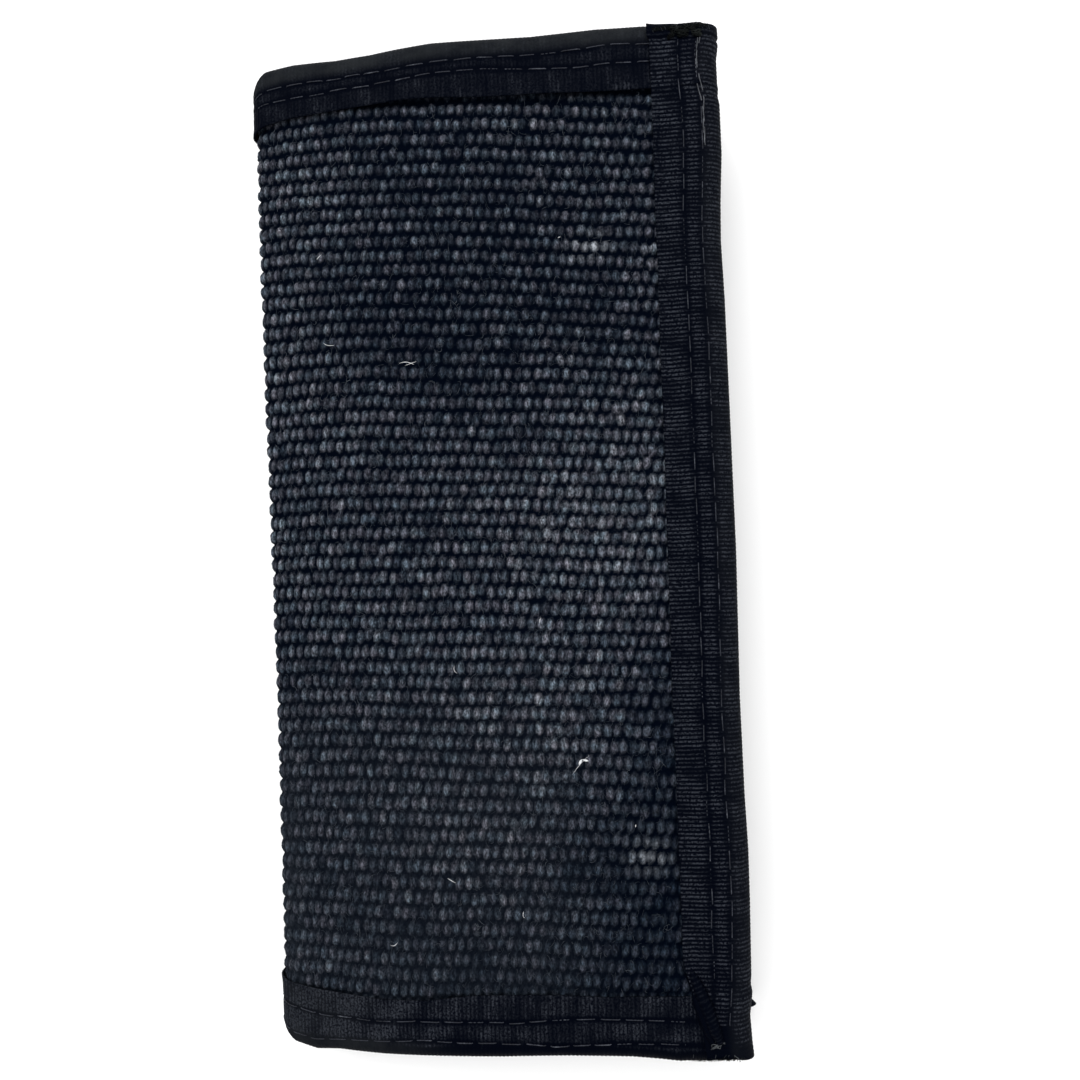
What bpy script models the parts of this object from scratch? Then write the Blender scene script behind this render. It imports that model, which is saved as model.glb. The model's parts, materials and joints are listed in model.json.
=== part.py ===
"""Long bifold wallet in heavy woven cloth, bound all round in grosgrain tape.

It lies on its rear cover with the fold at -X, the free edges at +X and its length along Y. The front
cover stands slightly open over the rear one and bulges a little, as the springy cloth leaves it. The
origin is midway along and across the wallet, on the surface that it lies on. Metres, +Z up.

Every cover is a stack of layers, described by their depth from the cover's outer face. A strip of the
same cloth, the spine, joins the two covers: it turns on the rear cover along one crease, and the front
cover turns on it along the other.
"""

import math

import bmesh
import bpy
from mathutils import Vector

# Driving dimensions
LENGTH = 0.190  # along the fold
WIDTH = 0.0915  # closed, from the back of the fold to the free edge
GAP = 0.0003  # between neighbouring pieces
CLOTH = 0.0024  # the woven outer cloth
CLOTH_PRESSED = 0.0016  # the same cloth where the binding squeezes it
LAYER = 0.0004  # lining, pocket panels and their edge tapes
TAPE = 0.0005  # grosgrain binding
TAPE_FACE = 0.0125  # how far the binding reaches over each face
COVER_GAP = 0.0006  # between the two covers' bindings when pressed shut
CREASE_INSET = 0.0023  # each crease's axis, from the outer faces beside it
CREASE_OPEN = math.radians(4.5)  # each crease at rest, from pressed shut
BULGE_START = 0.001  # from the front cover's crease to where its bulge starts
BULGE_ANGLE = math.radians(14)  # how steeply it starts
BULGE_STEPS = 16  # flat facets along it
SHIFT_CLEAR = 0.001  # how far a cutter reaches past what it cuts

# Pocket mouths, as distances from the cover's crease, and the tape along each mouth
EDGE_TAPE = 0.008
BILL_MOUTH = 0.008
SLIP_MOUTH = 0.024
CARD_MOUTHS = (0.020, 0.033, 0.046)

# Derived dimensions
STEP = LAYER + GAP
LINING_DEPTH = CLOTH + GAP
FIRST_POCKET = LINING_DEPTH + STEP
REAR_PANELS = 2  # bill pocket and slip pocket
FRONT_PANELS = 1 + len(CARD_MOUTHS)  # bill pocket and card pockets
REAR_THICKNESS = FIRST_POCKET + REAR_PANELS * STEP + TAPE
FRONT_THICKNESS = FIRST_POCKET + FRONT_PANELS * STEP + TAPE
CREASE_SPACING = REAR_THICKNESS + FRONT_THICKNESS + COVER_GAP - 2 * CREASE_INSET
HALF = LENGTH / 2
FREE_EDGE = WIDTH - CREASE_INSET  # from a cover's crease to its free edge
BINDING_EDGE = FREE_EDGE - TAPE_FACE  # inner border of the free-edge binding
PANEL_END = FREE_EDGE - TAPE - GAP  # where the layers stop inside that binding
PANEL_HALF = HALF - TAPE - GAP
BINDING_Y = HALF - TAPE_FACE  # inner border of the top and bottom bindings
LAYERS_START = CREASE_INSET + 0.0009  # the inner layers keep clear of the turning spine
SOCKET = CREASE_INSET + GAP  # radius of the hollow that each spine bead turns in

# What the pieces are made of: colour, roughness
WOVEN = ("woven_cloth", (0.040, 0.045, 0.060), 0.90)
GROSGRAIN = ("grosgrain_tape", (0.012, 0.014, 0.022), 0.62)
NYLON = ("nylon_lining", (0.020, 0.022, 0.030), 0.55)

ARC_STEPS = 12  # segments in each half circle of the spine's section


def clear_scene():
    for obj in list(bpy.data.objects):
        bpy.data.objects.remove(obj)


def collection(name, hidden=False):
    made = bpy.data.collections.new(name)
    bpy.context.scene.collection.children.link(made)
    made.hide_render = hidden
    return made


def material(name, colour, roughness):
    """The material of that name, made the first time it is asked for."""
    found = bpy.data.materials.get(name)
    if found:
        return found
    made = bpy.data.materials.new(name)
    made.use_nodes = True
    shader = made.node_tree.nodes["Principled BSDF"]
    shader.inputs["Base Color"].default_value = (*colour, 1)
    shader.inputs["Roughness"].default_value = roughness
    shader.inputs["Metallic"].default_value = 0
    return made


def frame_empty(name, location, turn, parent=None):
    """An empty whose Y axis is a crease."""
    empty = bpy.data.objects.new(name, None)
    empty.empty_display_size = 0.01
    empty.location = location
    empty.rotation_euler = (0, turn, 0)
    empty.parent = parent
    wallet.objects.link(empty)
    return empty


def mesh_object(name, mesh, parent, holder, look=None):
    obj = bpy.data.objects.new(name, mesh)
    holder.objects.link(obj)
    obj.parent = parent
    if look:
        mesh.materials.append(material(*look))
    return obj


def bulge(x):
    """How far the front cover stands out of its plane at a distance from its crease."""
    span = FREE_EDGE - BULGE_START
    share = min(max((x - BULGE_START) / span, 0), 1)
    return math.tan(BULGE_ANGLE) * span * share * (1 - share) ** 2


def bulge_out(shape):
    """Splits a shape into facets along X and lifts them onto the bulge."""
    span = FREE_EDGE - BULGE_START
    for step in range(BULGE_STEPS + 1):
        bmesh.ops.bisect_plane(
            shape,
            geom=[*shape.verts, *shape.edges, *shape.faces],
            plane_co=(BULGE_START + span * step / BULGE_STEPS, 0, 0),
            plane_no=(1, 0, 0),
        )
    for vertex in shape.verts:
        vertex.co.z += bulge(vertex.co.x)


def box(name, x, y, z, parent, look=None, holder=None):
    """A box between (low, high) pairs in its parent's frame, bulging with the front cover if it is there."""
    shape = bmesh.new()
    bmesh.ops.create_cube(shape, size=1)
    size = Vector((x[1] - x[0], y[1] - y[0], z[1] - z[0]))
    centre = Vector((sum(x), sum(y), sum(z))) / 2
    bmesh.ops.scale(shape, vec=size, verts=shape.verts)
    bmesh.ops.translate(shape, vec=centre, verts=shape.verts)
    if parent == front_frame:
        bulge_out(shape)
    mesh = bpy.data.meshes.new(name)
    shape.to_mesh(mesh)
    shape.free()
    return mesh_object(name, mesh, parent, holder or wallet, look)


def cutter_box(name, x, y, z, parent):
    obj = box(name, x, y, z, parent, holder=cutters)
    obj.hide_render = True
    obj.display_type = "WIRE"
    return obj


def crease_cutter(name, parent):
    """A rod along the crease, which hollows a cover's end for the spine's bead."""
    shape = bmesh.new()
    bmesh.ops.create_cone(
        shape,
        cap_ends=True,
        segments=4 * ARC_STEPS,
        radius1=SOCKET,
        radius2=SOCKET,
        depth=LENGTH + 4 * SHIFT_CLEAR,
    )
    mesh = bpy.data.meshes.new(name)
    shape.to_mesh(mesh)
    shape.free()
    obj = mesh_object(name, mesh, parent, cutters)
    obj.rotation_euler = (math.pi / 2, 0, 0)
    obj.hide_render = True
    obj.display_type = "WIRE"
    return obj


def boolean(obj, other, operation="DIFFERENCE"):
    modifier = obj.modifiers.new(operation.title() + "_" + other.name, "BOOLEAN")
    modifier.operation = operation
    modifier.object = other
    modifier.solver = "EXACT"


def depth_range(side, outer, inner):
    """Local heights of a layer between two depths. Side is -1 for the rear cover and 1 for the front."""
    ends = (side * (CREASE_INSET - outer), side * (CREASE_INSET - inner))
    return (min(ends), max(ends))


def make_cover(label, side, parent, mouths, thickness):
    """One cover: cloth, lining, stepped pocket panels with their edge tapes, and three bindings."""
    socket = crease_cutter(label + "_socket_cutter", parent)
    inner_clearance = cutter_box(
        label + "_fold_clearance_cutter",
        (-SOCKET, LAYERS_START),
        (-HALF - SHIFT_CLEAR, HALF + SHIFT_CLEAR),
        depth_range(side, CLOTH + GAP / 2, thickness + SHIFT_CLEAR),
        parent,
    )
    make_shell(label, side, parent, socket)
    box(
        "lining_" + label,
        (LAYERS_START, PANEL_END),
        (-PANEL_HALF, PANEL_HALF),
        depth_range(side, LINING_DEPTH, LINING_DEPTH + LAYER),
        parent,
        NYLON,
    )
    for index, (name, mouth) in enumerate(mouths):
        innermost = index == len(mouths) - 1
        make_pocket(f"{name}_{label}", side, parent, mouth, FIRST_POCKET + index * STEP, innermost)
    for end, label_end in ((1, "top"), (-1, "bottom")):
        make_end_binding(
            f"binding_{label_end}_{label}", side, parent, end, thickness, (socket, inner_clearance)
        )
    make_edge_binding("binding_edge_" + label, side, parent, thickness)


def make_shell(label, side, parent, socket):
    """The woven cloth, thinner along the three bound edges, with a hollow end where the spine turns."""
    shell = box(
        "shell_" + label,
        (0, PANEL_END),
        (-PANEL_HALF, PANEL_HALF),
        depth_range(side, 0, CLOTH),
        parent,
        WOVEN,
    )
    pressed = depth_range(side, -SHIFT_CLEAR, CLOTH - CLOTH_PRESSED)
    past_edge = FREE_EDGE + SHIFT_CLEAR
    step_x, step_y = BINDING_EDGE - GAP, BINDING_Y - GAP
    for name, x, y in (
        ("edge", (step_x, past_edge), (-HALF - SHIFT_CLEAR, HALF + SHIFT_CLEAR)),
        ("top", (-SOCKET, past_edge), (step_y, HALF + SHIFT_CLEAR)),
        ("bottom", (-SOCKET, past_edge), (-HALF - SHIFT_CLEAR, -step_y)),
    ):
        boolean(shell, cutter_box(f"{label}_{name}_rabbet_cutter", x, y, pressed, parent))
    boolean(shell, socket)


def make_pocket(name, side, parent, mouth, depth, innermost):
    """A pocket panel sewn in on three sides and open towards the fold, with a tape along its mouth.

    The innermost panel's tape stops at the bindings, which lie at its own depth."""
    across = (-PANEL_HALF, PANEL_HALF)
    box(name, (mouth, PANEL_END), across, depth_range(side, depth, depth + LAYER), parent, NYLON)
    tape_depth = depth + STEP
    tape_half = BINDING_Y - GAP if innermost else PANEL_HALF
    box(
        name.replace("pocket", "mouth_tape"),
        (mouth, mouth + EDGE_TAPE),
        (-tape_half, tape_half),
        depth_range(side, tape_depth, tape_depth + LAYER),
        parent,
        GROSGRAIN,
    )


def make_end_binding(name, side, parent, end, thickness, cuts):
    """The tape folded over a cover's top (end 1) or bottom (end -1) edge."""
    y = sorted((end * BINDING_Y, end * HALF))
    inside = sorted((end * (BINDING_Y - SHIFT_CLEAR), end * (HALF - TAPE)))
    reach = (0, BINDING_EDGE - GAP)
    binding = box(name, reach, y, depth_range(side, 0, thickness), parent, GROSGRAIN)
    boolean(
        binding,
        cutter_box(
            name + "_channel_cutter",
            (-SHIFT_CLEAR, BINDING_EDGE + SHIFT_CLEAR),
            inside,
            depth_range(side, TAPE, thickness - TAPE),
            parent,
        ),
    )
    for cut in cuts:
        boolean(binding, cut)


def make_edge_binding(name, side, parent, thickness):
    """The tape folded over a cover's free edge, with its two ends tucked in."""
    binding = box(
        name,
        (BINDING_EDGE, FREE_EDGE),
        (-HALF, HALF),
        depth_range(side, 0, thickness),
        parent,
        GROSGRAIN,
    )
    boolean(
        binding,
        cutter_box(
            name + "_channel_cutter",
            (BINDING_EDGE - SHIFT_CLEAR, FREE_EDGE - TAPE),
            (-HALF + TAPE, HALF - TAPE),
            depth_range(side, TAPE, thickness - TAPE),
            parent,
        ),
    )


def spine_outline(bead, inner_face):
    """The spine's section: a strip between the creases with a round bead on each, flush outside.

    Points (x, z) run anticlockwise. The strip's outer face is the beads' own tangent at x = -bead."""
    reach = math.acos(inner_face / bead)
    points = []
    for index in range(2 * ARC_STEPS + 1):
        angle = -math.pi + (math.pi + reach) * index / (2 * ARC_STEPS)
        points.append((bead * math.cos(angle), bead * math.sin(angle)))
    for index in range(2 * ARC_STEPS + 1):
        angle = -reach + (math.pi + reach) * index / (2 * ARC_STEPS)
        points.append((bead * math.cos(angle), CREASE_SPACING + bead * math.sin(angle)))
    return points


def spine_solid(name, bead, inner_face, y, parent, look=None, holder=None):
    """The spine's section extruded between two places along the fold."""
    curve = bpy.data.curves.new(name, "CURVE")
    curve.dimensions = "2D"
    curve.fill_mode = "BOTH"
    curve.extrude = (y[1] - y[0]) / 2
    outline = spine_outline(bead, inner_face)
    spline = curve.splines.new("POLY")
    spline.points.add(len(outline) - 1)
    for point, (x, z) in zip(spline.points, outline, strict=True):
        point.co = (x, z, 0, 1)
    spline.use_cyclic_u = True
    drawn = bpy.data.objects.new(name + "_outline", curve)
    cutters.objects.link(drawn)
    bpy.context.view_layer.update()
    graph = bpy.context.evaluated_depsgraph_get()
    mesh = bpy.data.meshes.new_from_object(drawn.evaluated_get(graph))
    bpy.data.objects.remove(drawn)
    shape = bmesh.new()
    shape.from_mesh(mesh)
    bmesh.ops.remove_doubles(shape, verts=shape.verts, dist=1e-7)
    bmesh.ops.recalc_face_normals(shape, faces=shape.faces)
    shape.to_mesh(mesh)
    shape.free()
    mesh.name = name
    obj = mesh_object(name, mesh, parent, holder or wallet, look)
    obj.rotation_euler = (math.pi / 2, 0, 0)
    obj.location = (0, (y[0] + y[1]) / 2, 0)
    return obj


def make_spine(parent):
    """The strip of cloth behind the fold, its lining, and the two bindings that cap its ends."""
    strip_inner = CLOTH - CREASE_INSET
    cap_hollow = CREASE_INSET - TAPE
    pressed_bead = cap_hollow - GAP
    shell = spine_solid(
        "shell_spine", CREASE_INSET, strip_inner, (-BINDING_Y + GAP, BINDING_Y - GAP), parent, WOVEN
    )
    core = spine_solid(
        "spine_core_joiner", pressed_bead, strip_inner / 2, (-PANEL_HALF, PANEL_HALF), parent,
        holder=cutters,
    )
    core.hide_render = True
    boolean(shell, core, "UNION")
    lining_x = strip_inner + GAP
    edge = CREASE_INSET + GAP
    box(
        "lining_spine",
        (lining_x, lining_x + LAYER),
        (-BINDING_Y + GAP, BINDING_Y - GAP),
        (edge, CREASE_SPACING - edge),
        parent,
        NYLON,
    )
    hollow_inner = strip_inner / 2 + GAP
    for end, label in ((1, "top"), (-1, "bottom")):
        y = sorted((end * BINDING_Y, end * HALF))
        inside = sorted((end * (BINDING_Y - SHIFT_CLEAR), end * (HALF - TAPE)))
        name = f"binding_{label}_spine"
        cap = spine_solid(name, CREASE_INSET, hollow_inner + TAPE, y, parent, GROSGRAIN)
        hollow = spine_solid(
            name + "_hollow_cutter", cap_hollow, hollow_inner, inside, parent, holder=cutters
        )
        hollow.hide_render = True
        hollow.display_type = "WIRE"
        boolean(cap, hollow)


clear_scene()
wallet = collection("bifold_wallet")
cutters = collection("cutters", hidden=True)
leaning_back = CREASE_INSET + CREASE_SPACING * math.sin(CREASE_OPEN)
rear_crease = Vector(((leaning_back - FREE_EDGE) / 2, 0, CREASE_INSET))
rear_frame = frame_empty("rear_cover_frame", rear_crease, 0)
spine_frame = frame_empty("spine_frame", rear_crease, -CREASE_OPEN)
front_frame = frame_empty("front_cover_frame", (0, 0, CREASE_SPACING), -CREASE_OPEN, spine_frame)

make_cover(
    "rear",
    -1,
    rear_frame,
    (("bill_pocket", BILL_MOUTH), ("slip_pocket", SLIP_MOUTH)),
    REAR_THICKNESS,
)
make_spine(spine_frame)
make_cover(
    "front",
    1,
    front_frame,
    (("bill_pocket", BILL_MOUTH), *((f"card_pocket_{i + 1}", m) for i, m in enumerate(CARD_MOUTHS))),
    FRONT_THICKNESS,
)
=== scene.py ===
"""Looks of the long bifold wallet: woven cloth, grosgrain bindings, stitching, lining and pockets.

Every soft piece is first laid out flat, in coordinates (s, y, depth). s runs across the wallet along its
outer surface, from the rear cover's free edge (negative) over the middle of the fold (0) to the front
cover's free edge (positive). y runs along the fold. depth is measured from the outer surface inwards. A
piece is then rolled round the fold into its place.
"""

import json
import math

import bpy
import numpy as np
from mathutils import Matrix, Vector


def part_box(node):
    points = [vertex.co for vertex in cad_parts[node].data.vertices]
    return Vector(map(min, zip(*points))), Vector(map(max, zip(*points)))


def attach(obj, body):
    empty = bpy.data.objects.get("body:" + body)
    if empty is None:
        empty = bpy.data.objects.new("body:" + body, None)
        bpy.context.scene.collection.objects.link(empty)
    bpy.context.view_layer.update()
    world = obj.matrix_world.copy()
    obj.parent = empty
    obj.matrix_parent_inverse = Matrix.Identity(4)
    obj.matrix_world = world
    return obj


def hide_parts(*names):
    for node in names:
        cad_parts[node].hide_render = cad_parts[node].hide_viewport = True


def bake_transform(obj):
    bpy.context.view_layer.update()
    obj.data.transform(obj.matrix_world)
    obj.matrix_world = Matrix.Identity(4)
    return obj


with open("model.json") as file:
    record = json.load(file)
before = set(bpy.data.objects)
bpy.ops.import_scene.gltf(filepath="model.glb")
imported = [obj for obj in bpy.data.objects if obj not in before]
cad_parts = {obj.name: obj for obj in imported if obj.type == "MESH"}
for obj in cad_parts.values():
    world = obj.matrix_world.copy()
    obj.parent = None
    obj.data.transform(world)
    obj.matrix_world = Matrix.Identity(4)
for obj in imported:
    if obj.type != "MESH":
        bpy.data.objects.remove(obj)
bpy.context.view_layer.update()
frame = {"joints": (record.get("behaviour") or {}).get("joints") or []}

MM = 0.001

# The frame's own measures
JOINTS = {joint["name"]: joint for joint in frame["joints"]}
REAR_CREASE = Vector(JOINTS["spine_fold"]["pos_m"])
FRONT_CREASE = Vector(JOINTS["cover_fold"]["pos_m"])
REST_OPENING = -2 * math.radians(JOINTS["spine_fold"]["range_deg"][0])
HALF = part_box("binding_edge_rear")[1].y
REAR_END_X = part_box("binding_edge_rear")[1].x
TAPE_FACE = REAR_END_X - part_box("binding_edge_rear")[0].x
TAPE_Y = HALF - TAPE_FACE

# The fold's section: a tight bend, the spine's flat wall and a second bend
BEND = 3.5 * MM  # radius of the outer surface at both bends
REAR_RUN = 1.8 * MM  # from the rear crease's axis to where the rear cover starts to bend
BOW_ANGLE = math.radians(14)  # how much steeper the front cover leaves the fold than it lies
LEAVING = REST_OPENING + BOW_ANGLE
WALL_HEADING = (math.pi + REST_OPENING) / 2


def fold_measures():
    """Lengths of the wall between the bends, and of the front cover from its crease to its bend."""
    inset = REAR_CREASE.z
    over_crease_x = FRONT_CREASE.x - inset * math.sin(REST_OPENING)
    over_crease_z = FRONT_CREASE.z + inset * math.cos(REST_OPENING)
    across = over_crease_x - REAR_CREASE.x - REAR_RUN + BEND * math.sin(LEAVING)
    up = over_crease_z - BEND * (1 + math.cos(LEAVING))
    wall_way = (math.cos(WALL_HEADING), math.sin(WALL_HEADING))
    cover_way = (math.cos(REST_OPENING), math.sin(REST_OPENING))
    return np.linalg.solve([[wall_way[0], -cover_way[0]], [wall_way[1], -cover_way[1]]], [across, up])


WALL, FRONT_RUN = fold_measures()
REAR_BEND = BEND * (math.pi - WALL_HEADING)  # lengths of the two bends
FRONT_BEND = BEND * (WALL_HEADING - LEAVING)
FOLD = (REAR_BEND + WALL + FRONT_BEND) / 2  # |s| at both ends of the fold
COVER = REAR_END_X - REAR_CREASE.x  # from a crease's axis to the free edge
RUN = {-1: REAR_RUN, 1: FRONT_RUN}  # by cover: -1 is the rear one, 1 the front one
END = {side: FOLD + COVER - RUN[side] for side in (-1, 1)}  # |s| at the rear's and the front's free edge

DRAWN_IN = 3.6 * MM  # how far the ends of the fold are drawn in along y
UNEVEN = 0.25 * MM  # how far the front cover's surface rises and falls

# Layers, as depths
CLOTH = 2.4 * MM  # the cloth's back
CLOTH_TOP = 0.4 * MM  # the highest yarns lie this far under the tapes' outer faces
RELIEF = 0.7 * MM  # from the highest yarn down to the gaps
LINING_DEPTH = 2.7 * MM
SHEET = 0.4 * MM
INSET = 2.6 * MM  # from the wallet's outline to the edges of the inner sheets
STEP = 0.7 * MM  # from one panel to the next
INNER_FACE = {  # (distance from the crease's axis, depth of the bindings' inner face), in millimetres
    -1: ((2, 3.3), (5, 3.7), (9, 4.5), (24, 5.1), (30, 5.3)),
    1: ((2, 3.3), (5, 3.7), (9, 4.5), (20, 5.2), (33, 5.9), (46, 6.6), (50, 6.7)),
}
TAPE = 0.5 * MM  # its thickness

# Weave
WARP_PITCH = 1.794 * MM  # between floats in one row
WEFT_PITCH = 2.765 * MM  # between rows
FLOAT_WIDTH = 0.92 * MM  # half the width of a float
FLOAT_LENGTH = ((-95, 1.46), (-50, 1.42), (30, 1.34), (80, 1.22))  # half its length, as points of (y, mm)
FLOAT_STRAY = (0.10 * MM, 0.13 * MM)  # how far a float lies off its place, along s and y
FLOAT_LEAN = math.radians(8)
YARN_LEAN = math.radians(14)  # of the fibres in a float
POINTS_PER_FLOAT = (5, 6)  # of the mesh, along s and y
PRESSED = 0.25 * MM  # how deep the tapes' borders press the cloth in
HAIRINESS = 0.055  # how rough the yarns are, as a share of RELIEF
# The rows run a little askew, more so towards the top, and lie closer together there. These are points of
# (y, slant) and (y, y as counted in rows), in millimetres.
ROW_SLANT = ((-80, 0.030), (-50, 0.036), (-10, 0.052), (25, 0.068), (50, 0.085))
ROW_COUNT = ((-95, -91.9), (-35, -34.7), (-10, -10.1), (95, 96.1))

# Tape and thread
RIB = 0.76 * MM
RIB_HEIGHT = 0.11 * MM
# On the top tape the rubbed outer part is also painted lighter: painted light on the edge that faces the
# lamp.
OUTER_PART = (2.4 * MM, 4.4 * MM)  # where a tape's rubbed outer part fades out, from the folded edge
STITCH = 4.2 * MM
STITCH_DIP = 0.7 * MM  # how deep a stitch goes down at its holes
THREAD = 0.105 * MM  # radius
CHANNEL = 0.5 * MM  # half the width of the channel that a row pulls into the tape
HOLE_PULL = 0.14 * MM  # how much deeper it is at the holes
EDGE_FACE = 12.2 * MM  # width of the free-edge tapes' faces
EDGE_ROWS = (3.4 * MM, 6.8 * MM)  # stitch rows of the free-edge tapes, from the edge

# The top (1) and bottom (-1) tapes are sewn on by eye, so their inner border and stitch rows wander. These
# are points of (distance along s from the fold's middle, distance in from the edge), in millimetres.
BORDER = {
    1: ((5, 12.2), (9, 11.4), (14, 11.0), (37, 10.8), (47, 11.2), (56, 11.7), (66, 12.0), (84, 12.4)),
    -1: (
        (5, 12.6), (11, 12.0), (16, 11.6), (28, 10.8), (36, 11.0),
        (45, 12.1), (61, 12.3), (70, 11.9), (84, 12.3),
    ),
}
END_ROWS = {
    1: (
        ((8, 4.5), (34, 4.7), (52, 4.2), (60, 4.6), (72, 4.3), (76, 3.8), (84, 4.2)),
        ((8, 7.2), (34, 6.8), (45, 6.4), (52, 6.3), (60, 6.9), (71, 7.5), (77, 7.2), (84, 7.4)),
    ),
    -1: (
        ((8, 2.2), (21, 2.7), (35, 3.5), (55, 3.3), (60, 2.9), (67, 3.2), (84, 3.8)),
        ((7, 7.6), (16, 7.1), (25, 6.6), (35, 7.1), (52, 7.1), (60, 7.6), (67, 7.9), (84, 7.8)),
    ),
}
# How far the edges stand out of or in from the straight line, in millimetres
EDGE_WAVE = (
    (-95, -0.3), (-92, -0.6), (-87, -0.85), (-83, -0.3), (-80, 0.1), (-66, 0.35), (-57, 0.4), (-47, 0.1),
    (-29, -0.1), (-2, 0.2), (16, 0.05), (44, -0.2), (55, -0.5), (62, -0.3), (71, 0.2), (80, 0.15),
    (83.5, -0.6), (88, -0.65), (91, -0.2), (94, -0.3),
)
END_WAVE = {
    1: (
        (8, -0.2), (15, 0.1), (24, -0.55), (31, -0.4), (36, 0.05),
        (43, 0.55), (62, 0.25), (74, 0.75), (84, 0.6),
    ),
    -1: (
        (9, -0.1), (13, 0.6), (18, 0.15), (27, 0.4), (50, 0.45), (62, 0.2), (74, 0.2), (79, 0.5),
        (83, 0.85), (88, 0.7), (92, 0.35),
    ),
}
# How far the front edge tape's border draws back where its lower end is turned under at a slant
SLANT = ((-95, 4.1), (-90, 3.6), (-86, 3.0), (-81, 1.4), (-79, 0.8), (-77, 0.2), (-75, 0.0))

FUZZ_LENGTH = 1.9 * MM
FUZZ_RADIUS = 0.028 * MM
FUZZ_MARGIN = 12.5 * MM  # at the cloth's ends, where the tapes cover it
FRAY_RADIUS = 0.045 * MM
CLOTH_SHORT = (4 * MM, 8.5 * MM)  # how far inside the outline the cloth ends, along s and along y
TAPE_SHORT = 0.6 * MM  # how far inside the free edge the end tapes end
TAPE_SHARES = np.concatenate([np.linspace(0, 0.1, 8)[:-1], np.linspace(0.1, 1, 37)])  # across a folded tape
SURFACE_AT_STITCH = 0.08 * MM  # how deep the tape lies under the middle of a stitch
ROWS_TOP = HALF - 4.3 * MM  # where the free-edge tapes' rows end, and where they start where it doesn't show
ROWS_LOWEST = -HALF + 3 * MM
FRONT_LOWEST = (-HALF + 7.5 * MM, -HALF + 15.5 * MM)  # where they start on the front's outer face
SEWN_BACK_FROM = HALF - 23.5 * MM
SEWN_BACK = ((91, 0.55 * MM, 0.35 * MM), (92, 0.15 * MM, 0.25 * MM))  # (seed, off the outer row, wander)
TUCK_Y = HALF - 3.8 * MM  # where the front edge tape's upper end is folded under
TUCK_WIDENS = 0.45 * MM  # how much wider the tape is there
EDGE_RAISED = 0.5 * MM  # how far the front edge tape is raised where it lies over the end tapes
TAPE_END = HALF - 1.55 * MM  # |y| at the ends of the free-edge tapes
REAR_LOWER_END = HALF - 0.15 * MM  # and at the rear one's lower end
UPPER_CUT = (0.07, -0.5 * MM)  # the upper ends are cut askew: slope and place at the folded edge
CORNER_PULL = (0.4 * MM, 0.7 * MM, 2.5 * MM)  # the front's upper and lower corners stand out, over a width
CORNER_FLARE = (3.0 * MM, 3.6 * MM)  # how far the rear tape's lower corner sticks out, and its length along y
KNOTS = (  # (from the free edge, above the tuck's fold, reach along s), in millimetres: knotted thread ends
    (3.4, 0.3, 0.9),
    (4.6, 1.3, 1.2),
    (5.9, 0.5, 1.1),
    (7.4, 1.2, 0.9),
    (8.1, 0.2, 0.7),
)
LINT_PLACES = (  # (s, y, length) in millimetres, the angle in degrees and the radius in millimetres
    (21.1, 39.6, 2.4, -14, 0.05),
    (36.6, 35.3, 3.0, -8, 0.05),
    (37.4, 35.0, 2.2, 16, 0.05),
    (66.5, -40.3, 4.6, 47, 0.035),
    (66.5, -39.9, 1.2, 60, 0.26),
    (67.5, -39.6, 1.1, -15, 0.22),
    (76.2, -51.8, 0.5, 80, 0.08),
    (66.1, 56.8, 0.5, 20, 0.07),
    (19.7, 56.6, 1.2, 40, 0.05),
    (43.7, -22.5, 1.5, 110, 0.05),
    (60.0, -13.7, 1.1, 75, 0.05),
    (41.7, -61.7, 1.8, 150, 0.05),
    (54.9, -68.1, 1.3, 95, 0.05),
    (30.1, -74.1, 1.6, 20, 0.05),
)

LOOSE_KNOT = (6.0 * MM, -HALF + 4.2 * MM, -0.9 * MM)  # (from the free edge, y, depth)
# The loose thread end at the lower free corner, as (s, y, depth) in millimetres
TAIL = ((93.0, -92.7, -0.5), (93.7, -93.3, -0.3), (93.9, -94.0, 0.3), (93.8, -94.6, 1.2))

REAR = ("rear_cover", "spine")  # the bodies that a piece over the fold's rear or front bend bends between
FRONT = ("spine", "front_cover")


def smooth(x, low, high):
    """0 below low, 1 above high, and a smooth rise between them."""
    t = np.clip((np.asarray(x, float) - low) / (high - low), 0, 1)
    return t * t * (3 - 2 * t)


def fade(x, low, high):
    """1 below low, 0 above high, and a smooth fall between them."""
    return 1 - smooth(x, low, high)


def bell(x, width):
    """1 at 0, falling smoothly to 0 on both sides."""
    return np.exp(-((x / width) ** 2))


def ripple(a, b, wave, seed):
    """Smooth noise of about -1 to 1 over two coordinates, made of a few crossed waves."""
    random = np.random.default_rng(seed)
    total = 0
    for _ in range(5):
        angle, phase = random.uniform(0, 2 * math.pi, 2)
        k = random.uniform(0.6, 1.5) * 2 * math.pi / wave
        total = total + np.sin(k * (a * math.cos(angle) + b * math.sin(angle)) + phase)
    return total / 3


# ---- the folded section


def along_points(distance, points):
    """A length that varies along a line, from (place, value) points in millimetres."""
    places, values = zip(*points)
    return np.interp(np.asarray(distance) / MM, places, values) * MM


def make_section():
    """Arrays of s, heading, x and z along the outer surface at rest."""
    s = np.arange(-END[-1] - 10 * MM, END[1] + 10 * MM, 0.05 * MM)
    marks = np.array([0, REAR_BEND, REAR_BEND + WALL, 2 * FOLD]) - FOLD
    heading = np.interp(s, marks, [math.pi, WALL_HEADING, WALL_HEADING, LEAVING])
    u = np.clip((s - FOLD) / (END[1] - FOLD), 0, 1)
    bow = np.arctan(math.tan(BOW_ANGLE) * (1 - u) * (1 - 3 * u))
    heading = np.where(s > FOLD, REST_OPENING + bow, heading)
    step = np.diff(s, prepend=s[0])
    x = np.cumsum(np.cos(heading) * step)
    z = np.cumsum(np.sin(heading) * step)
    x += REAR_END_X - np.interp(-END[-1], s, x)
    z -= z[0]
    return s, heading, x, z


SECTION = make_section()


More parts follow.
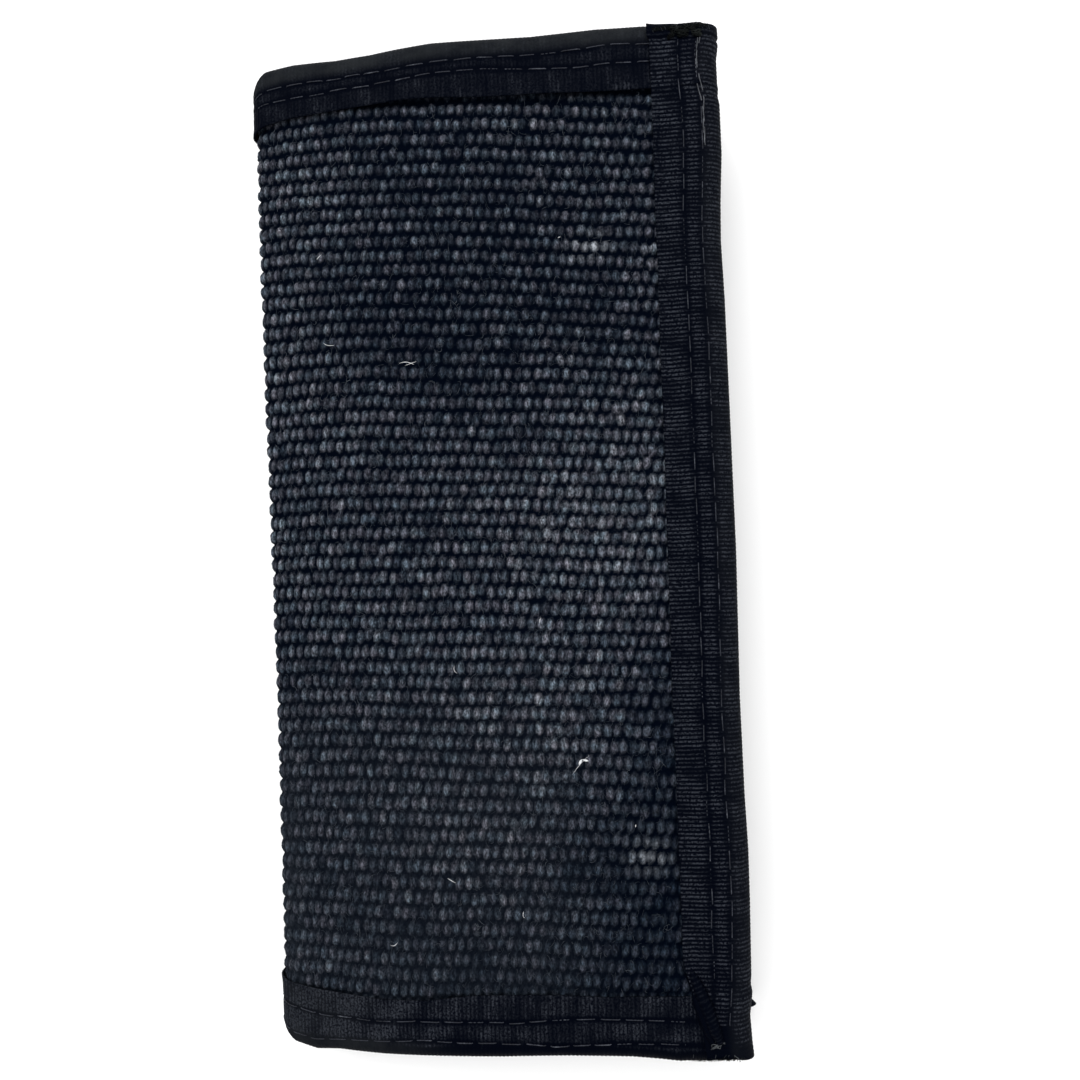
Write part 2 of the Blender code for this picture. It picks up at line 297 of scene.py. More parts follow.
def place(flat):
    """World points of flat points (s, y, depth), rolled round the fold."""
    s, y, depth = flat[:, 0], flat[:, 1], flat[:, 2]
    on_front = smooth(s, 0, FOLD)
    # The cover is not quite even, its edges wave a little, and the ends of the fold are drawn in.
    depth = depth + on_front * UNEVEN * ripple(s, y, 90 * MM, 3)
    drawn_in = DRAWN_IN * fade(np.abs(s), 3.5 * MM, 9 * MM)
    wave = np.where(y > 0, along_points(s, END_WAVE[1]), along_points(s, END_WAVE[-1])) * on_front
    s = s + along_points(y, EDGE_WAVE) * smooth(s, END[1] - EDGE_FACE, END[1] - EDGE_FACE / 4)
    y = y + np.sign(y) * (wave - drawn_in) * (np.abs(y) / HALF) ** 14
    along, heading, x, z = SECTION
    turn = np.interp(s, along, heading)
    world_x = np.interp(s, along, x) + depth * np.sin(turn)
    world_z = np.interp(s, along, z) - depth * np.cos(turn)
    return np.stack([world_x, y, world_z], axis=1)


def cover_depth(s):
    """Depth of the bindings' inner face: thin at the fold, then over more and more pocket panels."""
    from_crease = np.abs(s) - FOLD
    rear, front = (along_points(from_crease + RUN[side], INNER_FACE[side]) for side in (-1, 1))
    return np.where(s < 0, rear, front)


def edge_thickness(cover):
    """Depth of a free-edge binding's inner face."""
    return float(cover_depth(np.array(cover * END[cover])))


def end_border(s, side):
    """Width of the top or bottom tape's face."""
    return along_points(np.abs(s), BORDER[side])


# ---- meshes


def add_object(name, data):
    """A new object in the scene."""
    thing = bpy.data.objects.new(name, data)
    bpy.context.scene.collection.objects.link(thing)
    return thing


def build(name, points, faces, material, extra=None):
    """A piece in flat coordinates, which it also keeps as its texture coordinates."""
    mesh = bpy.data.meshes.new(name)
    mesh.from_pydata(points.tolist(), [], faces)
    mesh.shade_smooth()
    flat = mesh.attributes.new("flat", "FLOAT_VECTOR", "POINT")
    flat.data.foreach_set("vector", points.astype(np.float32).ravel())
    for label, values in (extra or {}).items():
        layer = mesh.attributes.new(label, "FLOAT", "POINT")
        layer.data.foreach_set("value", np.asarray(values, np.float32))
    mesh.materials.append(material)
    piece = add_object(name, mesh)
    return piece


def settle(piece, bodies):
    """Rolls a flat piece into place, riding on its body when it has one.

    How far each point bends round the fold depends only on its distance from the fold. A piece given two
    bodies is baked into place and attached to neither."""
    if len(bodies) == 2:
        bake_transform(piece)
    points = np.zeros(len(piece.data.vertices) * 3)
    piece.data.vertices.foreach_get("co", points)
    piece.data.vertices.foreach_set("co", place(points.reshape(-1, 3)).ravel())
    piece.data.update()
    if len(bodies) == 1:
        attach(piece, bodies[0])


def quads(rows, columns, first=0, flip=False):
    """Faces of a grid of points stored row by row."""
    index = first + np.arange(rows * columns).reshape(rows, columns)
    ring = [index[:-1, :-1], index[1:, :-1], index[1:, 1:], index[:-1, 1:]]
    return np.stack(ring[::-1] if flip else ring, axis=-1).reshape(-1, 4).tolist()


def band(outer, inner):
    """Points and faces of a closed sheet between two grids of the same shape."""
    rows, columns = outer.shape[:2]
    count = rows * columns
    points = np.concatenate([outer.reshape(-1, 3), inner.reshape(-1, 3)])
    faces = quads(rows, columns) + quads(rows, columns, count, flip=True)
    index = np.arange(count).reshape(rows, columns)
    rim = np.concatenate([index[0, :-1], index[:-1, -1], index[-1, :0:-1], index[:0:-1, 0]])
    after = np.roll(rim, -1)
    faces += np.stack([rim, after, after + count, rim + count], axis=1).tolist()
    return points, faces


def tube(path, radius, sides=7, closed_ends=True):
    """Points and faces of a thread along a path of points."""
    forward = np.gradient(path, axis=0)
    forward /= np.linalg.norm(forward, axis=1)[:, None]
    side = np.cross(forward, (0.02, 0.03, 1.0))
    side /= np.linalg.norm(side, axis=1)[:, None]
    up = np.cross(side, forward)
    angle = np.linspace(0, 2 * math.pi, sides, endpoint=False)
    ring = side[:, None] * np.cos(angle)[:, None] + up[:, None] * np.sin(angle)[:, None]
    radius = np.broadcast_to(radius, len(path))
    points = (path[:, None] + ring * radius[:, None, None]).reshape(-1, 3)
    index = np.arange(len(path) * sides).reshape(len(path), sides)
    after = np.roll(index, -1, axis=1)
    faces = np.stack([index[:-1], after[:-1], after[1:], index[1:]], axis=-1).reshape(-1, 4).tolist()
    if closed_ends:
        faces += [index[0, ::-1].tolist(), index[-1].tolist()]
    return points, faces


def make_threads(name, parts, material, bodies=("front_cover",)):
    """One piece made of several tubes, in its place."""
    faces = []
    count = 0
    for part_points, part_faces in parts:
        faces += [[i + count for i in face] for face in part_faces]
        count += len(part_points)
    points = np.concatenate([part[0] for part in parts])
    settle(build(name, points, faces, material), bodies)


def both_faces(values):
    """Values at the points of a closed sheet, from those of one of its two surfaces."""
    return np.concatenate([values.ravel()] * 2)


def resampled(points, count):
    """A path of points with more of them in between."""
    index = np.arange(len(points))
    where = np.linspace(0, len(points) - 1, count)
    return np.stack([np.interp(where, index, points[:, axis]) for axis in range(3)], axis=1)


# ---- materials


class Nodes:
    """Short calls for a material's node tree."""

    def __init__(self, name):
        self.material = bpy.data.materials.new(name)
        self.material.use_nodes = True
        self.tree = self.material.node_tree
        self.shader = self.tree.nodes["Principled BSDF"]

    def add(self, kind, inputs=None, **settings):
        node = self.tree.nodes.new(kind)
        for key, value in settings.items():
            setattr(node, key, value)
        self.set(node, inputs or {})
        return node

    def set(self, node, inputs):
        """Links or sets a node's inputs."""
        for socket, value in inputs.items():
            if isinstance(value, bpy.types.NodeSocket):
                self.tree.links.new(value, node.inputs[socket])
            else:
                node.inputs[socket].default_value = value

    def attribute(self, name, output="Fac"):
        return self.add("ShaderNodeAttribute", attribute_name=name).outputs[output]

    def flat(self):
        """A piece's flat coordinates."""
        return self.attribute("flat", "Vector")

    def math(self, operation, a, b):
        return self.add("ShaderNodeMath", {0: a, 1: b}, operation=operation).outputs[0]

    def scaled(self, coordinates, scale, turn):
        """Coordinates in metres turned about depth and multiplied."""
        inputs = {"Vector": coordinates, "Rotation": (0, 0, turn), "Scale": scale}
        return self.add("ShaderNodeMapping", inputs, vector_type="POINT").outputs[0]

    def noise(self, coordinates, size, detail=3.0, roughness=0.55):
        """Noise whose blobs are about size metres across."""
        inputs = {"Vector": coordinates, "Scale": 1 / size, "Detail": detail, "Roughness": roughness}
        return self.add("ShaderNodeTexNoise", inputs).outputs["Fac"]

    def bands(self, coordinates, size, distortion=0.0):
        """Fine diagonal bands."""
        inputs = {"Vector": coordinates, "Scale": 1 / size, "Distortion": distortion}
        node = self.add("ShaderNodeTexWave", inputs, wave_type="BANDS", bands_direction="DIAGONAL")
        return node.outputs["Fac"]

    def ramp(self, value, *stops):
        """Colours between (position, colour) stops."""
        node = self.add("ShaderNodeValToRGB", {"Fac": value})
        elements = node.color_ramp.elements
        while len(elements) < len(stops):
            elements.new(0.5)
        for element, (position, colour) in zip(elements, stops, strict=True):
            element.position = position
            element.color = (*colour, 1)
        return node.outputs["Color"]

    def grey(self, value, *stops):
        """Levels between (position, level) stops."""
        return self.ramp(value, *((position, (level,) * 3) for position, level in stops))

    def mix(self, factor, first, second, blend="MIX"):
        """A mix of two colours. Either may be three plain numbers."""
        inputs = {"Factor": factor}
        for socket, colour in ((6, first), (7, second)):
            inputs[socket] = colour if isinstance(colour, bpy.types.NodeSocket) else (*colour, 1)
        return self.add("ShaderNodeMix", inputs, data_type="RGBA", blend_type=blend).outputs[2]

    def bump(self, height, distance, below=None):
        """A bump, on top of the one below it."""
        inputs = {"Height": height, "Distance": distance} | ({"Normal": below} if below else {})
        return self.add("ShaderNodeBump", inputs).outputs["Normal"]

    def finish(self, colour, roughness, specular, normal=None):
        """Sets the shader and gives the material."""
        inputs = {"Base Color": colour, "Roughness": roughness, "Specular IOR Level": specular}
        self.set(self.shader, inputs | ({"Normal": normal} if normal else {}))
        return self.material


def woven_material():
    """Heavy black yarn: each float a slightly different shade, painted shade in the gaps and painted
    highlights on the floats' tops, dusty patches and fine fibres.
    """
    n = Nodes("woven_black_cloth")
    flat = n.flat()
    yarn = n.ramp(
        n.attribute("shade"),
        (0.0, (0.018, 0.026, 0.042)),
        (0.30, (0.050, 0.062, 0.086)),
        (0.55, (0.138, 0.155, 0.194)),
        (0.85, (0.30, 0.33, 0.38)),
    )
    tints = (0.36, (0.88, 1.02, 1.06)), (0.5, (1.0, 1.0, 1.0)), (0.64, (1.10, 0.99, 1.0))
    tint = n.ramp(n.noise(flat, 2.4 * MM, 2), *tints)
    yarn = n.mix(1.0, yarn, tint, "MULTIPLY")
    fibres = n.noise(n.scaled(flat, (1.0, 0.40, 1.0), YARN_LEAN), 0.36 * MM, 3, 0.7)
    yarn = n.mix(1.0, yarn, n.grey(fibres, (0.36, 0.10), (0.5, 0.42), (0.62, 1.0)), "MULTIPLY")
    blotch = n.noise(flat, 14 * MM, 4, 0.65)
    yarn = n.mix(n.grey(blotch, (0.42, 0.0), (0.68, 0.20)), yarn, (0.036, 0.046, 0.056))
    broken_dust = n.math("MULTIPLY", n.attribute("dust"), n.grey(fibres, (0.38, 0.30), (0.60, 1.0)))
    yarn = n.mix(broken_dust, yarn, (0.46, 0.49, 0.54))
    ragged = n.math("MULTIPLY", n.math("SUBTRACT", n.noise(flat, 0.45 * MM, 3, 0.7), 0.5), 0.75)
    raised = n.math("ADD", n.attribute("height"), ragged)
    # Painted shade and highlight: by the height of the relief, the gaps between the floats are painted near
    # black and the floats' tops light.
    painted_relief_shade = n.grey(raised, (0.12, 0.0), (0.42, 0.18), (0.74, 0.50), (1.0, 1.0))
    colour = n.mix(painted_relief_shade, (0.0003, 0.0014, 0.0045), yarn)
    felt = n.mix(n.grey(fibres, (0.34, 0.0), (0.66, 1.0)), (0.005, 0.007, 0.011), (0.019, 0.023, 0.029))
    colour = n.mix(n.attribute("matted"), colour, felt)
    strands = n.noise(n.scaled(flat, (1.0, 0.10, 1.0), YARN_LEAN), 0.22 * MM, 2)
    fuzz = n.noise(flat, 0.12 * MM, 3)
    normal = n.bump(fuzz, 0.05 * MM, n.bump(strands, 0.16 * MM))
    rough = n.grey(fuzz, (0.3, 0.72), (0.7, 0.95))
    return n.finish(colour, rough, 0.01, normal)


def tape_material(name, base, ridge):
    """Grosgrain: ribs are geometry, so this adds the fine threads across them and the wear, and paints shade:
    near black between the ribs and lighter on them.
    """
    n = Nodes(name)
    flat = n.flat()
    threads = n.bands(flat, 1.15 * MM, 1.2)
    worn = n.noise(flat, 5 * MM, 5, 0.7)
    grain = n.noise(flat, 0.40 * MM, 3, 0.75)
    # Painted shade and highlight: near black between the ribs, lighter on them.
    painted_rib_shade = n.grey(n.attribute("height"), (0.58, 0.0), (0.80, 0.22), (1.0, 1.0))
    broken = n.math("MULTIPLY", painted_rib_shade, n.grey(grain, (0.42, 0.0), (0.58, 1.0)))
    wear = n.grey(worn, (0.34, 0.45), (0.50, 0.85), (0.70, 1.0))
    colour = n.mix(n.math("MULTIPLY", broken, wear), base, ridge)
    # The paler outer edge is rubbed wear and, on the top tape, also painted light where its edge faces the
    # lamp.
    rubbed = n.math("MULTIPLY", n.attribute("rolled"), n.grey(worn, (0.36, 0.35), (0.62, 0.80)))
    colour = n.mix(rubbed, colour, (0.0160, 0.0178, 0.0198))
    normal = n.bump(grain, 0.04 * MM, n.bump(threads, 0.015 * MM))
    rough = n.grey(worn, (0.3, 0.52), (0.7, 0.70))
    return n.finish(colour, rough, 0.012, normal)


def thread_material(name, specular, dark, middle, pale):
    """Twisted polyester thread, rubbed paler in places."""
    n = Nodes(name)
    flat = n.flat()
    worn = n.noise(flat, 3 * MM, 4, 0.7)
    colour = n.ramp(worn, (0.35, dark), (0.55, middle), (0.78, pale))
    return n.finish(colour, 0.5, specular, n.bump(n.bands(flat, 0.9 * MM), 0.05 * MM))


def lining_material():
    """Thin black nylon with a fine plain weave."""
    n = Nodes("nylon_lining")
    flat = n.flat()
    weave = n.add("ShaderNodeTexChecker", {"Vector": flat, "Scale": 1 / (0.28 * MM)})
    crease = n.noise(flat, 18 * MM, 5, 0.6)
    # Darker where the crease relief is low: painted shade in the creases.
    colour = n.ramp(crease, (0.3, (0.006, 0.007, 0.010)), (0.7, (0.014, 0.015, 0.020)))
    normal = n.bump(crease, 1.2 * MM, n.bump(weave.outputs["Fac"], 0.03 * MM))
    rough = n.grey(crease, (0.3, 0.42), (0.7, 0.62))
    return n.finish(colour, rough, 0.08, normal)


def lint_material():
    n = Nodes("pale_lint")
    flat = n.flat()
    colour = n.ramp(n.noise(flat, 0.4 * MM, 2), (0.3, (0.45, 0.46, 0.48)), (0.7, (0.85, 0.86, 0.88)))
    return n.finish(colour, 0.8, 0.5, n.bump(n.noise(flat, 0.1 * MM), 0.02 * MM))


def floor_material():
    n = Nodes("pale_floor")
    where = n.add("ShaderNodeTexCoord").outputs["Object"]
    colour = n.ramp(n.noise(where, 0.4), (0.4, (0.955, 0.955, 0.955)), (0.6, (0.97, 0.97, 0.97)))
    return n.finish(colour, 0.9, 0.1)


WOVEN = woven_material()
# The first colour is the painted shade between the ribs, the second the colour on them.
GROSGRAIN = tape_material("grosgrain_binding", (0.0003, 0.0009, 0.0032), (0.032, 0.036, 0.046))
THREAD_LOOK, DARK_THREAD, RUBBED_THREAD, PALE_THREAD, FUZZ = (
    thread_material(*look)
    for look in (
        ("sewing_thread", 0.2, (0.004, 0.005, 0.009), (0.018, 0.021, 0.030), (0.10, 0.11, 0.13)),
        ("knotted_thread", 0.03, (0.0005, 0.0008, 0.001), (0.004, 0.005, 0.005), (0.022, 0.026, 0.024)),
        ("rubbed_thread", 0.05, (0.02, 0.022, 0.026), (0.075, 0.08, 0.09), (0.20, 0.21, 0.23)),
        ("frayed_thread", 0.05, (0.01, 0.011, 0.013), (0.06, 0.066, 0.072), (0.24, 0.25, 0.26)),
        ("loose_fibres", 0.01, (0.012, 0.016, 0.024), (0.05, 0.058, 0.072), (0.16, 0.175, 0.20)),
    )
)
NYLON = lining_material()
LINT = lint_material()


# ---- woven cloth

DUST = (  # (distance from the front's free edge, y, reach, strength): patches of chalky wear
    (24 * MM, HALF - 40 * MM, (3.4 * MM, 2.0 * MM), 0.90),
    (17.5 * MM, -HALF + 37.5 * MM, (3.2 * MM, 2.4 * MM), 0.62),
)
MATTED = (0.32, 0.30)  # how strongly the yarns are matted: at the lower end, and more at the fold
TONES = (  # (s, y, reach along s, reach along y, how much lighter): broad areas, in millimetres
    (72, 68, 20, 26, -0.16),
    (40, 45, 22, 16, -0.19),
    (72, 35, 18, 12, -0.14),
    (72, 8, 20, 24, 0.19),
    (72, -35, 16, 16, 0.12),
    (45, -78, 18, 18, -0.25),
)


def weave(s, y):
    """Height (0 in the gaps, about 1 on the floats) and shade (0 to 1) of the cloth at flat points.

    Rows of warp floats lie staggered, like bricks, over the hidden weft. Each float has its own place, size,
    slant and shade."""
    rows, columns = 160, 400
    random = np.random.default_rng(11)
    shift_s, shift_y, slant, size, shade = (random.standard_normal((rows, columns)) for _ in range(5))
    u = s / WARP_PITCH
    from_middle = s - END[1] / 2
    slant_here = along_points(y, ROW_SLANT) / MM
    bend = np.where(from_middle < 0, 1.9 - 0.9 * smooth(y, 0, 60 * MM), smooth(y, 0, 60 * MM))  # per metre
    askew = slant_here * from_middle + bend * from_middle**2 / 2
    v = (along_points(y, ROW_COUNT) + askew * (s > 0)) / WEFT_PITCH + 0.08 * ripple(s, y, 50 * MM, 21)
    best = np.zeros_like(s)
    tone = np.zeros_like(s)
    for offset in (-1, 0, 1):
        row = np.round(v).astype(int) + offset
        stagger = 0.5 * (row % 2)
        column = np.round(u - stagger).astype(int)
        cell = (row % rows, column % columns)
        ds = (u - column - stagger) * WARP_PITCH - FLOAT_STRAY[0] * shift_s[cell]
        dy = (v - row) * WEFT_PITCH - FLOAT_STRAY[1] * shift_y[cell]
        lean = FLOAT_LEAN * (1 + slant[cell])
        across = (ds * np.cos(lean) - dy * np.sin(lean)) / FLOAT_WIDTH
        along = (ds * np.sin(lean) + dy * np.cos(lean)) / along_points(y, FLOAT_LENGTH)
        reach = 0.90 * np.abs(across) ** 1.5 + np.abs(along) ** 2.6
        dome = np.clip(1 - reach, 0, 1) ** 0.75 * (1 + 0.12 * np.clip(size[cell], -2, 1.5))
        higher = dome > best
        best = np.where(higher, dome, best)
        tone = np.where(higher, shade[cell], tone)
    unworn = smooth(s - 0.5 * y, 75 * MM, 120 * MM)  # the cloth is darkest towards the lower free corner
    worn = 0.52 + 0.085 * tone + 0.10 * ripple(s, y, 45 * MM, 22) - 0.36 * unworn + 0.6 * lightness(s, y)
    hairy = best + HAIRINESS * random.standard_normal(s.shape) * smooth(best, 0.0, 0.5)
    return np.clip(hairy, 0, 1.15), np.clip(worn, 0, 1)


def dustiness(s, y):
    """Strength of the pale patches at flat points."""
    total = np.zeros_like(s)
    for from_edge, centre, (reach_s, reach_y), strength in DUST:
        spot = bell(s - (END[1] - from_edge), reach_s) * bell(y - centre, reach_y)
        total += strength * spot * (0.70 + 0.6 * ripple(s, y, 1.8 * MM, 23))
    return np.clip(total, 0, 1)


def lightness(s, y):
    """How much lighter the cloth is in its broad lighter and darker areas."""
    total = np.zeros_like(s)
    for centre_s, centre_y, reach_s, reach_y, lighter in TONES:
        total += lighter * bell(s / MM - centre_s, reach_s) * bell(y / MM - centre_y, reach_y)
    return total


def matting(s, y):
    """How much the yarns are rubbed into an even felt: towards the lower end, and most of all at the fold."""
    lower_end = smooth(-y, 8 * MM, 55 * MM) * fade(s, 56 * MM, 78 * MM)
    at_fold = smooth(-y, 25 * MM, 60 * MM) * fade(s, 7 * MM, 14 * MM)
    return MATTED[0] * lower_end + MATTED[1] * at_fold


def make_cloth(name, low, high, bodies, replaced):
    """The outer cloth between two places along s, its yarns as relief, closed by a plain back."""
    columns = round((high - low) / (WARP_PITCH / POINTS_PER_FLOAT[0])) + 1
    half_y = HALF - CLOTH_SHORT[1]
    rows = round(2 * half_y / (WEFT_PITCH / POINTS_PER_FLOAT[1])) + 1
    ends = np.linspace(low, high, columns)
    s, y = np.meshgrid(ends, np.linspace(-half_y, half_y, rows), indexing="ij")
    height, shade = weave(s, y)
    cover = 1 if bodies == FRONT else -1
    past_top = y - (HALF - end_border(s, 1))
    past_bottom = -y - (HALF - end_border(s, -1))
    past_edge = np.abs(s) - (END[cover] - EDGE_FACE + (along_points(y, SLANT) if cover > 0 else 0))
    sunk = smooth(past_top, -2.2 * MM, 0.3 * MM) * (0.35 + 0.65 * smooth(s, 20 * MM, 45 * MM))
    pressed = np.maximum(smooth(past_bottom, -0.5 * MM, 0.8 * MM), smooth(past_edge, -0.5 * MM, 0.8 * MM))
    # The floats lie lower under the top tape's border. Through the height attribute they are also painted
    # darker there: painted shadow of the border.
    height = height * (1 - 0.45 * sunk)
    depth = CLOTH_TOP + RELIEF * (1 - height) + PRESSED * np.maximum(pressed, sunk)
    top = np.stack([s, y, depth], axis=-1).reshape(-1, 3)
    back = np.zeros((columns, 2, 3))
    back[:, :, 0] = ends[:, None]
    back[:, :, 1] = (-half_y, half_y)
    back[:, :, 2] = CLOTH
    count = columns * rows
    faces = quads(columns, rows) + quads(columns, 2, count, flip=True)
    grid = np.arange(count).reshape(columns, rows)
    low_side = count + 2 * np.arange(columns)
    high_side = low_side + 1
    faces += np.stack([grid[:-1, 0], low_side[:-1], low_side[1:], grid[1:, 0]], axis=1).tolist()
    faces += np.stack([grid[1:, -1], high_side[1:], high_side[:-1], grid[:-1, -1]], axis=1).tolist()
    faces.append([*grid[0].tolist(), int(high_side[0]), int(low_side[0])])
    faces.append([*grid[-1, ::-1].tolist(), int(low_side[-1]), int(high_side[-1])])
    points = np.concatenate([top, back.reshape(-1, 3)])
    looks = {
        "height": height + 0.3 * lightness(s, y),
        "shade": shade,
        "dust": dustiness(s, y) * (s > 0),
        "matted": matting(s, y) * (s > 0),
    }
    blank = np.zeros(2 * columns)
    looks = {label: np.concatenate([values.ravel(), blank]) for label, values in looks.items()}
    piece = build(name, points, faces, WOVEN, looks)
    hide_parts(*replaced)
    settle(piece, bodies)


# ---- bindings


def profile(share, face, thickness):
    """Where a folded tape's outer surface runs, as (distance in from the edge, depth, outward normal).

    share goes from 0 at the border on the outer face, over the edge, to 1 at the border inside."""
    radius = thickness / 2
    straight = face - radius
    arc = math.pi * radius
    length = 2 * straight + arc
    run = share * length
    turn = np.clip((run - straight) / radius, 0, math.pi)
    from_edge = np.where(run < straight, face - run, radius - radius * np.sin(turn))
    from_edge = np.where(run > straight + arc, radius + run - straight - arc, from_edge)
    depth = radius - radius * np.cos(turn)
    return from_edge, depth, np.sin(turn), -np.cos(turn)


def stitch_phase(along, seed):
    """0 at a stitch's middle and 1 at its holes, with the stitch's number. The stitches differ in length."""
    run = along / STITCH + 0.12 * np.sin(along / (5 * MM) + seed) + 0.37 * seed
    return np.abs((run % 1) - 0.5) * 2, np.floor(run).astype(int)


def channel(from_edge, depth, thickness, rows, along, seeds):
    """How deep the stitch rows pull the tape in, on either face, and most of all at the holes."""
    on_face = smooth(np.abs(depth - thickness / 2), 0.15 * thickness, 0.4 * thickness)
    total = 0
    for row, seed in zip(rows, seeds, strict=True):
        pull = SURFACE_AT_STITCH + HOLE_PULL * stitch_phase(along, seed)[0] ** 2
        total = total + pull * bell(from_edge - row, CHANNEL)
    return total * on_face


def rib_height(along, wander):
    """0 between the ribs, 1 on them."""
    return np.abs(np.cos(math.pi * (along + wander) / RIB)) ** 0.7


def make_tape(name, share, outer_out, point, flip, looks, replaced, bodies):
    """A tape from how far its outer surface stands out, thinner at its two borders.

    point says where that is, and flip turns its faces round."""
    away_from_border = smooth(share, 0.0, 0.05) * fade(share, 0.95, 1.0)
    inner_out = outer_out - TAPE * (0.55 + 0.45 * away_from_border)
    points, faces = band(np.stack(point(outer_out), axis=-1), np.stack(point(inner_out), axis=-1))
    if flip:
        faces = [face[::-1] for face in faces]
    piece = build(name, points, faces, GROSGRAIN, looks)
    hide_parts(*replaced)
    settle(piece, bodies)


def outer_part(from_edge):
    """1 near a tape's folded edge, 0 further in."""
    return fade(from_edge, *OUTER_PART)


def tape_looks(ribs, along, from_edge, depth, thickness, rows, worn, levels):
    """A tape's attributes, for both of its surfaces: its ribs, with painted shade in the channels along the
    stitch rows, and how much its outer edge is painted paler, as rubbed wear and, on the top tape, as painted
    light.

    levels are how light the gaps between the ribs and the ribs are painted, from 0 to 1; the dark gaps are
    painted shade."""
    # Paler outer edge: rubbed wear and, on the top tape, painted light.
    rolled = worn * outer_part(from_edge) * (depth < thickness * 0.7)
    painted_groove_shade = sum(bell(from_edge - row, 0.4 * MM) for row in rows)
    uneven = 0.94 + 0.13 * ripple(along, from_edge * 0.12, 1.7 * MM, 77)
    uneven = uneven + 0.08 * ripple(along, from_edge, 9 * MM, 78)
    shown = (levels[0] + (levels[1] - levels[0]) * ribs) * uneven * (1 - 0.6 * painted_groove_shade)
    return {"height": both_faces(shown), "rolled": both_faces(rolled)}


def end_tape(name, low, high, side, bodies, replaced):
    """The binding of the top (side 1) or bottom (side -1) edge, from low to high along s."""
    count = round((high - low) / (RIB / 5)) + 1
    s, share = np.meshgrid(np.linspace(low, high, count), TAPE_SHARES, indexing="ij")
    thickness = cover_depth(s)
    from_edge, depth, out_y, out_depth = profile(share, end_border(s, side), thickness)
    ribs = rib_height(s, 0.12 * MM * ripple(s, from_edge * 3, 30 * MM, 33))
    rows = [along_points(np.abs(s), row) for row in END_ROWS[side]]
    seeds = [end_seed(index, side) for index in (0, 1)]
    # How much the outer edge is painted paler. All along the top tape, whose edge faces the lamp, this is
    # rubbed wear and painted light. On the bottom tape, which faces away, it is only wear near the fold.
    worn = 1 if side > 0 else 0.7 * fade(np.abs(s), 22 * MM, 45 * MM)
    flattened = 1 - 0.6 * worn * outer_part(from_edge)
    proud = RIB_HEIGHT * flattened * (ribs - 0.5) - channel(from_edge, depth, thickness, rows, s, seeds)
    # The top tape's border stands off the cloth, most of all far from the fold.
    stands_off = 0.10 * MM + (0.35 * MM * smooth(s, 15 * MM, 45 * MM) if side > 0 else 0)
    lifted = fade(share, 0.0, 0.09) * stands_off
    lifted = lifted * (1 + 0.5 * ripple(s, 0, 22 * MM, 34))
    # On the rear cover and inside, the tape's end dips under the free-edge binding, and both are rounded.
    end = END[1 if high > 0 else -1]
    dip = 0.55 * MM * smooth(np.abs(s), end - EDGE_FACE - 1.5 * MM, end - EDGE_FACE + 0.5 * MM)
    inward = dip * np.where((s > 0) & (depth < thickness / 2), 0.15, 1)
    radius = thickness / 2
    short_of = np.clip(radius - (end - np.abs(s)), 0, None)
    inward = inward + radius - np.sqrt(np.clip(radius**2 - short_of**2, 0, None))
    outer_out = proud + lifted - inward - 0.02 * MM

    def point(out):
        return s, side * (HALF - from_edge + out_y * out), depth + out_depth * out

    if side > 0:
        levels = (0.66, 0.84)
    else:  # the bottom tape's ribs are clearest near the fold, and its outer edge is dark
        # Its outer edge, which faces away from the lamps, is painted dark: painted shade.
        faded = smooth(s, 15 * MM, 50 * MM)
        lit = smooth(from_edge, 1.4 * MM, 3 * MM)
        levels = ((0.74 - 0.04 * faded) * lit, (1.16 - 0.22 * faded) * lit)
    looks = tape_looks(ribs, s, from_edge, depth, thickness, rows, worn, levels)
    if side < 0:  # its lower end at the fold is rubbed grey all over
        rubbed = 0.45 * fade(np.abs(s), 10 * MM, 38 * MM)
        looks["rolled"] = np.maximum(looks["rolled"], both_faces(rubbed))
    make_tape(name, share, outer_out, point, side < 0, looks, replaced, bodies)


def over_end_tape(y):
    """How far the front's edge tape is raised where it lies over the end tapes."""
    return EDGE_RAISED * smooth(np.abs(y), TAPE_Y - 1.5 * MM, TAPE_Y + 0.8 * MM)


def round_edge(s):
    """How deep the front cover's rounded free edge lies at s."""
    radius = cover_depth(s) / 2
    outside = np.clip(s - (END[1] - radius), 0, radius - 0.2 * MM)
    return radius - np.sqrt(radius**2 - outside**2)


